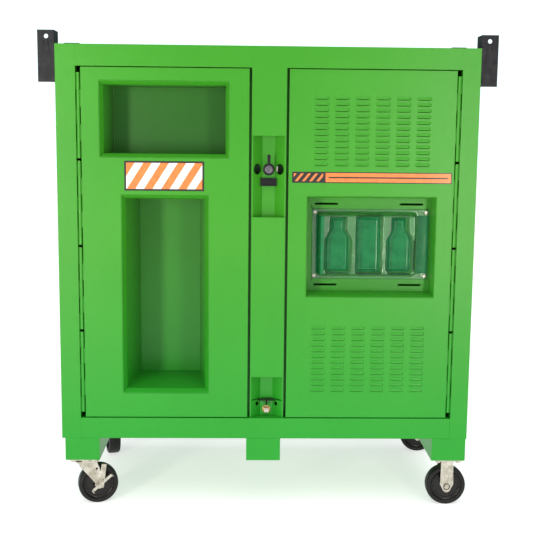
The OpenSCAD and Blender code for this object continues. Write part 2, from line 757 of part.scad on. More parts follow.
// Bolt places of all four casters, on the underside of the skids
module caster_bolt_positions() {
    for (c = [[skid_left_x, front_caster_y], [rear_swivel_x, rear_caster_y],
              [rigid_x, front_caster_y], [rigid_x, rear_caster_y]], sx = [-1, 1], sy = [-1, 1])
        translate([c[0] + sx * bolt_x / 2, c[1] + sy * bolt_y / 2, caster_h]) children();
}

module caster_bolts() color(zinc)
    caster_bolt_positions() translate([0, 0, -plate_t]) bolt(plate_t + skid_t);

module top_plate(x, y) translate([x, y, race_z]) linear_extrude(plate_t)
    difference() {
        square([plate_x, plate_y], center = true);
        for (sx = [-1, 1], sy = [-1, 1])
            translate([sx * bolt_x / 2, sy * bolt_y / 2]) circle(r = bolt_r + fit);
    }

// Fixed half of a swivel caster: plate, upper race and kingpin
module swivel_plate(x, y) color(zinc) {
    top_plate(x, y);
    translate([x, y, race_z - 4]) cylinder(r = 33, h = 4 + fit);
    translate([x, y, crown_z - 9]) cylinder(r = kingpin_r, h = race_z - crown_z + 9);
    translate([x, y, crown_z - 9]) cylinder(r = 13, h = 8.5, $fn = 6);
}

module swivel_plate_front() swivel_plate(skid_left_x, front_caster_y);
module swivel_plate_rear() swivel_plate(rear_swivel_x, rear_caster_y);

// A swivel caster's own frame: swivel axis at the origin, axle at +X, near side at -Y
module at_front_swivel()
    translate([skid_left_x, front_caster_y, 0]) rotate([0, 0, front_swivel_turn]) children();
module at_rear_swivel()
    translate([rear_swivel_x, rear_caster_y, 0]) rotate([0, 0, rear_swivel_turn]) children();

// Side view of a swivel fork's leg, with its axle at the origin
module leg_outline() {
    top = crown_z - wheel_r;
    difference() {
        union() {
            polygon([[-swivel_lead - 30, top], [-8, top], [2, top - 22], [16, 0], [0, -14], [-11, 4],
                [-swivel_lead - 26, top - 12]]);
            circle(r = 15);
        }
        translate([-8, 66]) circle(r = 4);
    }
}

// Brake plate welded to the near leg, reaching past the tread
module brake_plate_outline() polygon([[-10, 0], [2, 40], [11, 83], [29, 81], [22, 24], [17, -11], [0, -13]]);

brake_plate_t = 3;
lever_y = -leg_in - leg_t - brake_plate_t - 0.5;
brake_lever_t = 4;

module swivel_fork() color(zinc) difference() {
    union() {
        translate([-38, -leg_in - leg_t, crown_z]) cube([84, 2 * (leg_in + leg_t), leg_t]);
        translate([0, 0, crown_z + leg_t]) cylinder(r = 34, h = race_z - 4 - crown_z - leg_t - 0.4);
        for (y = [-leg_in, leg_in + leg_t]) translate([swivel_lead, y, wheel_r]) rotate([90, 0, 0])
            linear_extrude(leg_t) leg_outline();
        translate([swivel_lead, -leg_in - leg_t, wheel_r]) rotate([90, 0, 0])
            linear_extrude(brake_plate_t) brake_plate_outline();
    }
    translate([0, 0, crown_z - 5]) cylinder(r = kingpin_r + fit, h = 60);
    translate([swivel_lead, 0, wheel_r]) rotate([90, 0, 0])
        cylinder(r = axle_r + fit, h = 4 * leg_in, center = true);
}

module swivel_fork_front() at_front_swivel() swivel_fork();
module swivel_fork_rear() at_rear_swivel() swivel_fork();

// Axle bolt along Y with its middle at the origin and its head's seat at -Y
module axle(head_seat) color(zinc) rotate([90, 0, 0]) {
    nut_seat = leg_in + leg_t;
    translate([0, 0, -nut_seat]) cylinder(r = axle_r, h = nut_seat + head_seat);
    translate([0, 0, head_seat]) cylinder(r = 9, h = 5, $fn = 6);
    translate([0, 0, -nut_seat - 8]) cylinder(r = 10, h = 8, $fn = 6);
}

module braked_axle() translate([swivel_lead, 0, wheel_r]) axle(-lever_y + brake_lever_t + 0.5);

module axle_bolt_front() at_front_swivel() braked_axle();
module axle_bolt_rear() at_rear_swivel() braked_axle();

// Tyre and hub in one moulding, turned about Y
module wheel() color(black) rotate([90, 0, 0]) rotate_extrude($fn = 96) polygon([
    [axle_r + fit, -hub_w / 2], [19, -hub_w / 2], [21, -19], [wheel_r - 20, -17], [wheel_r - 16, -wheel_w / 2],
    [wheel_r - 5, -wheel_w / 2], [wheel_r - 1.5, -wheel_w / 2 + 4], [wheel_r, -wheel_w / 2 + 10],
    [wheel_r, wheel_w / 2 - 10], [wheel_r - 1.5, wheel_w / 2 - 4], [wheel_r - 5, wheel_w / 2],
    [wheel_r - 16, wheel_w / 2], [wheel_r - 20, 17], [21, 19], [19, hub_w / 2], [axle_r + fit, hub_w / 2]]);

module wheel_front_left() at_front_swivel() translate([swivel_lead, 0, wheel_r]) wheel();
module wheel_rear_left() at_rear_swivel() translate([swivel_lead, 0, wheel_r]) wheel();
module wheel_front_right() translate([rigid_x, front_caster_y, wheel_r]) wheel();
module wheel_rear_right() translate([rigid_x, rear_caster_y, wheel_r]) wheel();

// Side view of a rigid fork's leg, with its axle at the origin
module rigid_outline() difference() {
    union() {
        polygon([[-23, race_z - wheel_r + fit], [23, race_z - wheel_r + fit], [25.5, 9],
            [13, -16], [-13, -16], [-25.5, 9]]);
        translate([0, -8]) circle(r = 15);
    }
    circle(r = axle_r + fit);
}

module rigid_fork(y) color(zinc) {
    top_plate(rigid_x, y);
    for (leg_y = [-leg_in, leg_in + leg_t]) translate([rigid_x, y + leg_y, wheel_r])
        rotate([90, 0, 0]) linear_extrude(leg_t) rigid_outline();
}

module rigid_fork_front() rigid_fork(front_caster_y);
module rigid_fork_rear() rigid_fork(rear_caster_y);

module rigid_axle_bolts() for (y = [front_caster_y, rear_caster_y])
    translate([rigid_x, y, wheel_r]) axle(leg_in + leg_t);

lever_slope = 39;
lever_toe = 65;
lever_heel = 33;
lever_w = 11;
lever_tab = 12;

// Rocking brake lever on the axle bolt, with a bent tab at each end to press with a foot
module brake_lever() color(zinc)
translate([swivel_lead, lever_y, wheel_r]) rotate([0, -lever_slope, 0]) difference() {
    union() {
        translate([-lever_heel, -brake_lever_t, -lever_w / 2])
            cube([lever_heel + lever_toe, brake_lever_t, lever_w]);
        rotate([90, 0, 0]) cylinder(r = axle_r + 6, h = brake_lever_t);
        translate([-lever_heel, -brake_lever_t - lever_tab, -lever_w / 2 - 2])
            cube([3, lever_tab + brake_lever_t, lever_w + 4]);
        translate([lever_toe - 3, -brake_lever_t - lever_tab, -lever_w / 2])
            cube([3, lever_tab + brake_lever_t, lever_w]);
    }
    rotate([90, 0, 0]) cylinder(r = axle_r + fit, h = 40, center = true);
}

module brake_lever_front() at_front_swivel() brake_lever();
module brake_lever_rear() at_rear_swivel() brake_lever();

left_side_panel();
right_side_panel();
back_panel();
roof_panel();
floor_panel();
top_rail();
bottom_rail();
lock_post();
post_cover();
post_rear_cover();
skid_left();
skid_middle();
skid_right();
shelf_supports();
shelf_lower();
shelf_middle();
shelf_upper();
lug_front_left();
lug_front_right();
lug_rear_left();
lug_rear_right();
lug_bolts();
left_hinge_frame_leaf();
right_hinge_frame_leaf();
hinge_pins();
left_door_skin();
left_hinge_door_leaf();
first_aid_pan();
extinguisher_pan();
left_door_channel();
left_latch_strikes();
right_door_skin();
right_hinge_door_leaf();
eyewash_pan();
right_door_channels();
right_latch_strikes();
bottle_tray();
tray_screws();
latch_handle();
upper_cam();
spindle_bushings();
lower_cam();
link_rod();
lock_guards();
swivel_plate_front();
swivel_plate_rear();
swivel_fork_front();
swivel_fork_rear();
axle_bolt_front();
axle_bolt_rear();
brake_lever_front();
brake_lever_rear();
rigid_fork_front();
rigid_fork_rear();
rigid_axle_bolts();
wheel_front_left();
wheel_rear_left();
wheel_front_right();
wheel_rear_right();
caster_bolts();
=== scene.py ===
"""Looks of a rolling jobsite storage cabinet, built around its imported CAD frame."""

import json
import math
import random

import bmesh
import bpy
from mathutils import Matrix, Vector


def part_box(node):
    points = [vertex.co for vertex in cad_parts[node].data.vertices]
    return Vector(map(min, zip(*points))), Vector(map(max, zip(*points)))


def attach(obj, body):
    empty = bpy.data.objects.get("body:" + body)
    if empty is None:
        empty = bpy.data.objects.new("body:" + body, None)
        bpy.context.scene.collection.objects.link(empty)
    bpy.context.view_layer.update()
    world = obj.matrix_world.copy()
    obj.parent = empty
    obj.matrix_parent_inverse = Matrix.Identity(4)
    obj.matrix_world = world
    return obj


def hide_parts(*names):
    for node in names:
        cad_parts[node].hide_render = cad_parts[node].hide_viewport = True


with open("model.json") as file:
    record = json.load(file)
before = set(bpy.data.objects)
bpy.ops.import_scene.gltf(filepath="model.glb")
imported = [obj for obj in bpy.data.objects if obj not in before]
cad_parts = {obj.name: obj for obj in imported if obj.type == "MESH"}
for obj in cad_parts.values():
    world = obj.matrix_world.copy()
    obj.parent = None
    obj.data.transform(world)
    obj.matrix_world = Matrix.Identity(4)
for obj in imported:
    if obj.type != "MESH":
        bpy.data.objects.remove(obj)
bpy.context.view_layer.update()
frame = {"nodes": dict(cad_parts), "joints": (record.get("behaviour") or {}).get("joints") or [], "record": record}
scene = bpy.context.scene
rng = random.Random(7)

# Metres in a millimetre; every other length below is in millimetres unless a comment says metres
MM = 0.001
# Front plane of the shell, and the outer face of the doors behind it
FRONT_Y = -381.0
DOOR_Y = -378.0
# Axis of the turning knob
LOCK_X = 3.25
HANDLE_Z = 1286.0

# Viewpoint, with its angles in degrees
CAMERA_AT = (-79.19, -3891.12, 1421.32)
CAMERA_YAW = 1.3526
CAMERA_PITCH = 8.0371
CAMERA_ROLL = 0.5780
LENS = 64.78

# Studio: strengths of the surroundings as lighting and as seen, lamps, and the floor's own glow
ROOM_LIGHT = 0.26
BACKDROP = 1.35
KEY_POWER = 119
FILL_POWER = 48
OVERHEAD_SUN = 2.2
FLOOR_GLOW = 0.60
LAMP_TINT = (1.0, 0.96, 0.86)
ROOM_TINT = (0.82, 0.97, 1.0, 1)
# Lamp places and sizes in metres
KEY_AT = (-2.55, -4.33, 1.2)
FILL_AT = (1.64, -4.33, 1.05)
LAMP_AIM = (0, -0.4, 1.0)
LAMP_WIDTH = 0.5
LAMP_HEIGHT = 2.4
SUN_SPREAD = 70
SUN_TILT = 20
FLOOR_REACH = 30

# Green near the roof and near the floor; the warmer top and cooler foot are painted light, standing in for how the
# light falls
GREEN_TOP = (0.040, 0.275, 0.013, 1)
GREEN_FOOT = (0.010, 0.268, 0.016, 1)


# ---- Material helpers ----

def start_material(name, roughness=0.5, metallic=0.0, coat=0.0, coat_roughness=0.1, ior=1.45):
    material = bpy.data.materials.new(name)
    material.use_nodes = True
    tree = material.node_tree
    shader = tree.nodes["Principled BSDF"]
    shader.inputs["Roughness"].default_value = roughness
    shader.inputs["Metallic"].default_value = metallic
    shader.inputs["Coat Weight"].default_value = coat
    shader.inputs["Coat Roughness"].default_value = coat_roughness
    shader.inputs["IOR"].default_value = ior
    place = tree.nodes.new("ShaderNodeTexCoord").outputs["Object"]
    return material, tree, shader, place


def noise(tree, place, scale, detail=3.0, rough=0.5, stretch=None):
    if stretch:
        mapping = tree.nodes.new("ShaderNodeMapping")
        mapping.inputs["Scale"].default_value = stretch
        tree.links.new(place, mapping.inputs["Vector"])
        place = mapping.outputs["Vector"]
    node = tree.nodes.new("ShaderNodeTexNoise")
    node.inputs["Scale"].default_value = scale
    node.inputs["Detail"].default_value = detail
    node.inputs["Roughness"].default_value = rough
    tree.links.new(place, node.inputs["Vector"])
    return node.outputs["Fac"]


def ramp(tree, source, low, high, start=0.35, stop=0.65):
    node = tree.nodes.new("ShaderNodeValToRGB")
    node.color_ramp.elements[0].position = start
    node.color_ramp.elements[1].position = stop
    node.color_ramp.elements[0].color = low
    node.color_ramp.elements[1].color = high
    tree.links.new(source, node.inputs["Fac"])
    return node.outputs["Color"]


def multiply(tree, first, second):
    """Product of two colours; a Mix node's colour sockets are its seventh and eighth inputs."""
    node = tree.nodes.new("ShaderNodeMix")
    node.data_type = "RGBA"
    node.blend_type = "MULTIPLY"
    node.inputs["Factor"].default_value = 1.0
    tree.links.new(first, node.inputs[6])
    tree.links.new(second, node.inputs[7])
    return node.outputs[2]


def colour_from(tree, shader, source, low, high):
    tree.links.new(ramp(tree, source, low, high), shader.inputs["Base Color"])


def dull(shader, level):
    """Sets how strongly the surface mirrors; 0.5 is the usual level."""
    shader.inputs["Specular IOR Level"].default_value = level


def grey(value):
    return (value, value, value, 1)


def rough_from(tree, shader, source, low, high):
    tree.links.new(ramp(tree, source, grey(low), grey(high)), shader.inputs["Roughness"])


def bump_from(tree, shader, source, strength, distance):
    node = tree.nodes.new("ShaderNodeBump")
    node.inputs["Strength"].default_value = strength
    node.inputs["Distance"].default_value = distance
    tree.links.new(source, node.inputs["Height"])
    tree.links.new(node.outputs["Normal"], shader.inputs["Normal"])


# ---- Materials ----

def green_paint(name="green_paint", shade=1.0, back=0.0):
    """Semi-gloss powder coat with slow colour drift, orange peel and faint marks, and painted light that makes it
    warmer near the roof and cooler near the floor.

    A recess is given its depth in metres as back, and painted shade darkens its paint towards the back, down to
    shade.
    """
    material, tree, shader, place = start_material(name, 0.36, coat=0.04, coat_roughness=0.2)
    dull(shader, 0.38)
    split = tree.nodes.new("ShaderNodeSeparateXYZ")
    tree.links.new(place, split.inputs["Vector"])
    # Painted light: warmer green towards the roof, cooler towards the floor
    painted_light_by_height = ramp(tree, split.outputs["Z"], GREEN_FOOT, GREEN_TOP, 0.25, 1.0)
    drift = ramp(tree, noise(tree, place, 1.7, 2.0), (0.93, 0.96, 0.93, 1), (1.06, 1.03, 1.06, 1))
    marks = ramp(tree, noise(tree, place, 38, 8.0, 0.7), (0.94, 0.96, 0.94, 1), grey(1.0), 0.3, 0.5)
    tinted = multiply(tree, painted_light_by_height, drift)
    painted = multiply(tree, tinted, marks)
    # Painted shade: the paint darkens towards the back of a recess
    if back:
        depth = tree.nodes.new("ShaderNodeMapRange")
        depth.inputs["From Min"].default_value = DOOR_Y * MM + back * 0.45
        depth.inputs["From Max"].default_value = DOOR_Y * MM + back * 0.98
        tree.links.new(split.outputs["Y"], depth.inputs["Value"])
        shade_at_back = (shade * 0.95, shade, shade * 1.1, 1)
        painted_recess_shade = ramp(tree, depth.outputs["Result"], grey(1.0), shade_at_back, 0.0, 1.0)
        painted = multiply(tree, painted, painted_recess_shade)
    tree.links.new(painted, shader.inputs["Base Color"])
    rough_from(tree, shader, noise(tree, place, 60, 3.0), 0.33, 0.38)
    bump_from(tree, shader, noise(tree, place, 260, 2.0), 0.10, 0.0004)
    return material


def black_paint():
    material, tree, shader, place = start_material("black_paint", 0.5)
    dull(shader, 0.3)
    specks = noise(tree, place, 24, 8.0, 0.7)
    colour_from(tree, shader, specks, (0.004, 0.004, 0.006, 1), (0.014, 0.013, 0.018, 1))
    rough_from(tree, shader, noise(tree, place, 40, 6.0), 0.34, 0.55)
    bump_from(tree, shader, noise(tree, place, 320, 2.0), 0.15, 0.0004)
    return material


def black_handle():
    material, tree, shader, place = start_material("black_handle", 0.32)
    dull(shader, 0.25)
    specks = noise(tree, place, 90, 5.0)
    colour_from(tree, shader, specks, (0.006, 0.006, 0.007, 1), (0.014, 0.013, 0.015, 1))
    bump_from(tree, shader, noise(tree, place, 600, 2.0), 0.1, 0.0003)
    return material


def zinc_plate():
    material, tree, shader, place = start_material("zinc_plate", 0.34, metallic=1.0)
    cloud = noise(tree, place, 45, 7.0, 0.65)
    colour_from(tree, shader, cloud, (0.36, 0.32, 0.26, 1), (0.62, 0.58, 0.52, 1))
    rough_from(tree, shader, noise(tree, place, 120, 6.0), 0.20, 0.40)
    bump_from(tree, shader, noise(tree, place, 420, 3.0, stretch=(1, 1, 4)), 0.12, 0.0003)
    return material


def black_wheel():
    material, tree, shader, place = start_material("black_wheel", 0.4)
    dull(shader, 0.3)
    scuffs = noise(tree, place, 60, 8.0, 0.75)
    colour_from(tree, shader, scuffs, (0.004, 0.0035, 0.004, 1), (0.012, 0.011, 0.011, 1))
    rough_from(tree, shader, noise(tree, place, 30, 6.0), 0.36, 0.62)
    bump_from(tree, shader, noise(tree, place, 500, 3.0), 0.2, 0.0003)
    return material


def wheel_core():
    material, tree, shader, place = start_material("wheel_core", 0.26)
    dull(shader, 0.35)
    grain = noise(tree, place, 110, 6.0)
    colour_from(tree, shader, grain, (0.005, 0.004, 0.0045, 1), (0.013, 0.011, 0.011, 1))
    bump_from(tree, shader, grain, 0.2, 0.0003)
    return material


def clear_plastic(name="clear_plastic", low=(0.55, 0.88, 0.62, 1), high=(0.68, 0.96, 0.74, 1),
                  through=0.96, level=0.5):
    """Formed plastic sheet with a faint haze; through is how much light passes into it."""
    material, tree, shader, place = start_material(name, 0.06, ior=1.49)
    shader.inputs["Transmission Weight"].default_value = through
    dull(shader, level)
    colour_from(tree, shader, noise(tree, place, 30, 5.0), low, high)
    rough_from(tree, shader, noise(tree, place, 55, 6.0), 0.03, 0.10)
    bump_from(tree, shader, noise(tree, place, 18, 2.0), 0.08, 0.002)
    return material


def bronze():
    material, tree, shader, place = start_material("bronze", 0.35, metallic=1.0)
    cloud = noise(tree, place, 80, 6.0)
    colour_from(tree, shader, cloud, (0.36, 0.22, 0.08, 1), (0.60, 0.42, 0.19, 1))
    rough_from(tree, shader, cloud, 0.25, 0.5)
    return material


def vinyl(name, low, high):
    """Smooth film or cap finish with faint mottling."""
    material, tree, shader, place = start_material(name, 0.38, coat=0.15)
    colour_from(tree, shader, noise(tree, place, 70, 6.0), low, high)
    bump_from(tree, shader, noise(tree, place, 150, 2.0), 0.06, 0.0003)
    return material


MATERIALS = {
    "green_paint": green_paint(),
    # Copies of the green paint with painted shade towards the back of the two recesses
    "green_upper_bay_shaded": green_paint("green_upper_bay_shaded", 0.50, 0.180),
    "green_tall_bay_shaded": green_paint("green_tall_bay_shaded", 0.78, 0.255),
    "black_paint": black_paint(),
    "black_handle": black_handle(),
    "zinc_plate": zinc_plate(),
    "black_wheel": black_wheel(),
    "clear_plastic": clear_plastic(),
    # Darker, less clear copy of the plastic: painted shade for the tray's pockets and side walls
    "plastic_painted_shade": clear_plastic("plastic_painted_shade", (0.011, 0.20, 0.06, 1), (0.018, 0.25, 0.08, 1),
                                  through=0.3, level=0.12),
    "bronze": bronze(),
    "wheel_core": wheel_core(),
    "cap_metal": vinyl("cap_metal", (0.060, 0.052, 0.066, 1), (0.110, 0.098, 0.120, 1)),
    "label_black": vinyl("label_black", (0.006, 0.006, 0.006, 1), (0.014, 0.013, 0.013, 1)),
    "label_orange": vinyl("label_orange", (0.72, 0.17, 0.035, 1), (0.82, 0.21, 0.045, 1)),
    "label_white": vinyl("label_white", (0.78, 0.78, 0.76, 1), (0.88, 0.88, 0.87, 1)),
}


# ---- Mesh helpers, in millimetres ----

# Distance in metres under which two points become one, and the angle that counts as an edge
SAME_POINT = 0.00001
EDGE_ANGLE = 35


class Shape:
    """Collects the points and faces of one piece; a mark is the number of a face's material."""

    def __init__(self):
        self.verts, self.faces, self.marks = [], [], []

    def add(self, verts, faces, mark=0):
        base = len(self.verts)
        self.verts += [Vector(v) * MM for v in verts]
        self.faces += [[base + i for i in face] for face in faces]
        self.marks += [mark] * len(faces)

    def rings(self, rings, mark=0, closed=False):
        """Skin between equal rings of points; mark may be a function of the ring number."""
        n, count = len(rings[0]), len(rings)
        base = len(self.verts)
        self.verts += [Vector(p) * MM for ring in rings for p in ring]
        for k in range(count if closed else count - 1):
            after = (k + 1) % count
            for i in range(n):
                j = (i + 1) % n
                corners = (k * n + i, k * n + j, after * n + j, after * n + i)
                self.faces.append([base + corner for corner in corners])
                self.marks.append(mark(k) if callable(mark) else mark)

    def prism(self, outline, back, front, mark=0):
        """Outline of (x, z) points, extruded along Y."""
        n = len(outline)
        verts = [(x, y, z) for y in (back, front) for x, z in outline]
        sides = [[i, (i + 1) % n, n + (i + 1) % n, n + i] for i in range(n)]
        self.add(verts, [list(range(n)), list(range(n, 2 * n))[::-1]] + sides, mark)

    def piece(self, name, body, slot, materials=None, sharp=EDGE_ANGLE):
        mesh = bpy.data.meshes.new(name)
        mesh.from_pydata(self.verts, [], self.faces)
        for key in materials or [slot]:
            mesh.materials.append(MATERIALS[key])
        for polygon, mark in zip(mesh.polygons, self.marks):
            polygon.material_index = mark
        build = bmesh.new()
        build.from_mesh(mesh)
        bmesh.ops.remove_doubles(build, verts=build.verts, dist=SAME_POINT)
        bmesh.ops.recalc_face_normals(build, faces=build.faces)
        build.to_mesh(mesh)
        build.free()
        mesh.shade_smooth()
        mesh.set_sharp_from_angle(angle=math.radians(sharp))
        obj = bpy.data.objects.new(name, mesh)
        scene.collection.objects.link(obj)
        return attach(obj, body)


def soften(obj, width, segments=2):
    """Rounded edges that catch the light."""
    weld = obj.modifiers.new("weld", "WELD")
    weld.merge_threshold = SAME_POINT
    bevel = obj.modifiers.new("bevel", "BEVEL")
    bevel.width = width * MM
    bevel.segments = segments
    bevel.limit_method = "ANGLE"
    bevel.angle_limit = math.radians(EDGE_ANGLE)
    normals = obj.modifiers.new("normals", "WEIGHTED_NORMAL")
    normals.keep_sharp = True


def thicken(obj, thickness):
    """Gives an open skin a wall."""
    wall = obj.modifiers.new("wall", "SOLIDIFY")
    wall.thickness = thickness * MM
    wall.offset = -1


def turned(profile, centre, axis, segments=96):
    """Rings of a profile of (radius, along) points around an axis."""
    axis = Vector(axis).normalized()
    side = axis.cross(Vector((0, 0, 1))).normalized()
    up = side.cross(axis)
    rings = []
    for radius, along in profile:
        middle = Vector(centre) + axis * along
        angles = [2 * math.pi * i / segments for i in range(segments)]
        rings.append([middle + (side * math.cos(a) + up * math.sin(a)) * radius for a in angles])
    return rings


# ---- CAD nodes ----

# Width of the rounded edge for each material slot
SOFT_EDGE = {"green_paint": 1.3, "black_paint": 1.5, "zinc_plate": 0.6, "black_handle": 0.6, "bronze": 0.4}
# Recess pans whose paint carries painted shade towards the back
BAY_PAINTED_SHADE = {"first_aid_pan": "green_upper_bay_shaded", "extinguisher_pan": "green_tall_bay_shaded"}
# Wide panels with bolt holes, whose long thin triangles shade badly with a bevel
PLAIN_PANELS = ("left_side_panel", "right_side_panel")


def finish_cad_nodes():
    for row in frame["record"]["subparts"]:
        node, slot = frame["nodes"][row["node"]], row["material_slot"]
        node.data.materials.clear()
        node.data.materials.append(MATERIALS[BAY_PAINTED_SHADE.get(row["node"], slot)])
        if slot in SOFT_EDGE and row["node"] not in PLAIN_PANELS:
            soften(node, SOFT_EDGE[slot])


# ---- Wheels ----

# Half of a wheel's section from bore to tread, as (radius, distance from its middle plane)
WHEEL_SIDE = [
    (6.4, 29), (10, 29), (10.6, 28), (16.5, 28), (18.6, 26.6), (20, 20.5), (22, 18.4), (26, 16.8), (42, 15.6),
    (46, 15.8), (47, 17.4), (50, 17.4), (51, 16), (54.5, 16), (57, 17.6), (59, 22.6), (61, 24.6), (63, 25),
    (68.5, 25), (69.3, 24.4), (71, 24.5), (73.4, 22.6), (75.2, 18), (76, 10.5)]
WHEEL_R = 76
# Points of the section, counted from the bore, that belong to the core
CORE_RINGS = 14


def make_wheel(node, joint):
    """Moulded wheel with a stepped, dished face and a crowned tread."""
    low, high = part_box(node)
    profile = [(r, -a) for r, a in WHEEL_SIDE] + [(WHEEL_R, 0)] + WHEEL_SIDE[::-1]
    last = len(profile) - 1
    shape = Shape()
    rings = turned(profile, (low + high) / 2 / MM, joint["axis"])
    shape.rings(rings, lambda k: int(k < CORE_RINGS or k >= last - CORE_RINGS), closed=True)
    wheel = shape.piece("moulded_" + node, joint["child"], "black_wheel", ["black_wheel", "wheel_core"], 50)
    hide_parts(node)


def make_wheels():
    for joint in frame["joints"]:
        for node in frame["record"]["behaviour"]["bodies"][joint["child"]]:
            if node.startswith("wheel_"):
                make_wheel(node, joint)


# ---- Fork details ----

# Side view of a fixed fork's leg about its axle, and its outer face's distance from the wheel's middle
LEG_OUTLINE = [(-23, 98), (-25.5, 9), (-13, -15.5), (-6, -19), (6, -19), (13, -15.5), (25.5, 9), (23, 98)]
LEG_FACE = 35.0
RING_PROFILE = [(10, 0), (10, 1.2), (10.6, 1.8), (12, 1.8), (12.6, 1.0), (12.6, 0)]


def make_fork_details():
    """Raised pressed rim round each outer leg of the fixed casters, and a ring round its axle bolt."""
    for place in ("front", "rear"):
        wheel_low, wheel_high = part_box(f"wheel_{place}_right")
        axle = (wheel_low + wheel_high) / 2 / MM
        for name, face, out in (("near", axle.y - LEG_FACE, -1), ("far", axle.y + LEG_FACE, 1)):
            shape = Shape()
            outer = [(axle.x + x, axle.z + z) for x, z in LEG_OUTLINE]
            inner = [(axle.x + x * 0.8, axle.z + z * 0.8 + 3) for x, z in LEG_OUTLINE]
            rings = [[(x, face + out * step, z) for x, z in line]
                     for line, step in ((outer, -0.4), (outer, 0.9), (inner, 0.9), (inner, -0.4))]
            shape.rings(rings, closed=True)
            soften(shape.piece(f"fork_rim_{place}_{name}", "cabinet", "zinc_plate"), 0.6)
            shape = Shape()
            shape.rings(turned(RING_PROFILE, (axle.x, face, axle.z), (0, out, 0), 48), closed=True)
            shape.piece(f"axle_ring_{place}_{name}", "cabinet", "black_handle")


# ---- Handle ----

def make_handle():
    """Domed turning knob on its spindle, with a rounded lever standing up."""
    dome = [(14.2 * math.sin(t * math.pi / 12), 2.8 - 1.8 * math.cos(t * math.pi / 12)) for t in range(7)]
    body = [(14.6, 3.8), (16, 3.8), (16.6, 2.8), (19.2, 3.0), (21.2, 4.4), (22, 6.2), (22, 12.8), (21.2, 14),
            (8, 14), (8, 56), (0, 56)]
    shape = Shape()
    rings = turned(dome + body, (LOCK_X, FRONT_Y, HANDLE_Z), (0, 1, 0), 64)
    shape.rings(rings, lambda k: int(k < len(dome) - 1))
    knob = shape.piece("turning_knob", "handle", "black_handle", ["black_handle", "cap_metal"], 40)
    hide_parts("latch_handle")
    tip, half = 47.5, 6.5
    arc = [(LOCK_X + half * math.cos(a * math.pi / 10), HANDLE_Z + tip + half * math.sin(a * math.pi / 10))
           for a in range(11)]
    outline = [(LOCK_X - 6.2, HANDLE_Z), (LOCK_X + 6.2, HANDLE_Z), (LOCK_X + 5.4, HANDLE_Z + 30)] + arc
    outline.append((LOCK_X - 5.4, HANDLE_Z + 30))
    shape = Shape()
    shape.prism(outline, FRONT_Y + 11, FRONT_Y + 4)
    soften(shape.piece("turning_lever", "handle", "black_handle"), 2.2, 4)


# ---- Eyewash bottle tray ----

# Centre of the tray on the back of its recess, its width and height, and heights above that back
TRAY_AT = (388.75, -289.0, 1006.0)
TRAY_SIZE = (440, 264)
TRAY_STEP = 2.5
TRAY_TOP = 47.0
TRAY_FLANGE = 3.0
TRAY_FLOOR = 6.0
BOTTLE_X = (-124, 107)


def smooth(t):
    """Eases from 0 to 1 as t goes from 0 to 1."""
    t = max(0.0, min(1.0, t))
    return t * t * (3 - 2 * t)


def rounded_rect(x, z, cx, cz, half_w, half_h, radius):
    """Distance to a rounded rectangle, negative inside."""
    dx, dz = abs(x - cx) - half_w + radius, abs(z - cz) - half_h + radius
    return math.hypot(max(dx, 0), max(dz, 0)) + min(max(dx, dz), 0) - radius


def bottle_distance(x, z, cx):
    """Distance to a bottle outline whose shoulders ease from the neck to the body."""
    half = 53 - 19 * smooth((z - 14) / 46) - 8 * smooth((-88 - z) / 14)
    return max(abs(x - cx) - half, z - 108, -111 - z)


def pocket_distance(x, z):
    """Distance to the nearest of the two bottle pockets and the middle pocket."""
    bottles = min(bottle_distance(x, z, cx) for cx in BOTTLE_X)
    return min(bottles, rounded_rect(x, z, -9, 0, 51, 110, 10))


def tray_height(x, z):
    """Height of the formed sheet above the panel it is screwed to."""
    raised = smooth(-rounded_rect(x, z, -13, 0, 187, 121, 14) / 13)
    pocket = pocket_distance(x, z)
    sunk = smooth(-pocket / 10)
    rib = 4.0 * smooth(1 - abs(pocket + 16) / 4)
    block = (TRAY_TOP - TRAY_FLANGE) * raised * (1 - sunk)
    return TRAY_FLANGE + block + (TRAY_FLOOR - TRAY_FLANGE + rib) * sunk


def in_painted_shade(x, z):
    """Tells whether a spot is in a pocket or at a side wall, which get painted shade."""
    side_wall = -205 < x < -178 or x > 176
    return pocket_distance(x, z) < -8 or side_wall and abs(z) < 110


def make_tray():
    """One thin formed sheet with two bottle pockets and a middle pocket."""
    across, up = (int(s / TRAY_STEP) for s in TRAY_SIZE)
    shape = Shape()
    verts = []
    for j in range(up + 1):
        for i in range(across + 1):
            x = TRAY_SIZE[0] * (i / across - 0.5)
            z = TRAY_SIZE[1] * (j / up - 0.5)
            verts.append((TRAY_AT[0] + x, TRAY_AT[1] - tray_height(x, z), TRAY_AT[2] + z))
    row = across + 1
    faces = ([], [])
    for j in range(up):
        for i in range(across):
            x = TRAY_SIZE[0] * ((i + 0.5) / across - 0.5)
            z = TRAY_SIZE[1] * ((j + 0.5) / up - 0.5)
            face = [j * row + i, j * row + i + 1, (j + 1) * row + i + 1, (j + 1) * row + i]
            faces[int(in_painted_shade(x, z))].append(face)
    shape.add(verts, faces[0])
    # Pocket and side-wall faces take the darker plastic, which is painted shade
    shape.add([], [[k - len(verts) for k in face] for face in faces[1]], 1)
    tray = shape.piece("formed_tray", "right_door", "clear_plastic", ["clear_plastic", "plastic_painted_shade"], 80)
    thicken(tray, 1.8)
    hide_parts("bottle_tray")


# ---- Louvre hoods ----

# First column, spacing across and down, columns and rows, and the top slit of each field
LOUVRE_X0 = 192.4
LOUVRE_PITCH = (74.0, 21.6)
LOUVRE_GRID = (6, 12)
LOUVRE_TOPS = (1542.0, 700.0)
HOOD_W = 52.0
HOOD_H = 11.0
HOOD_D = 2.9
HOOD_ROWS = 6
HOOD_POINTS = 15


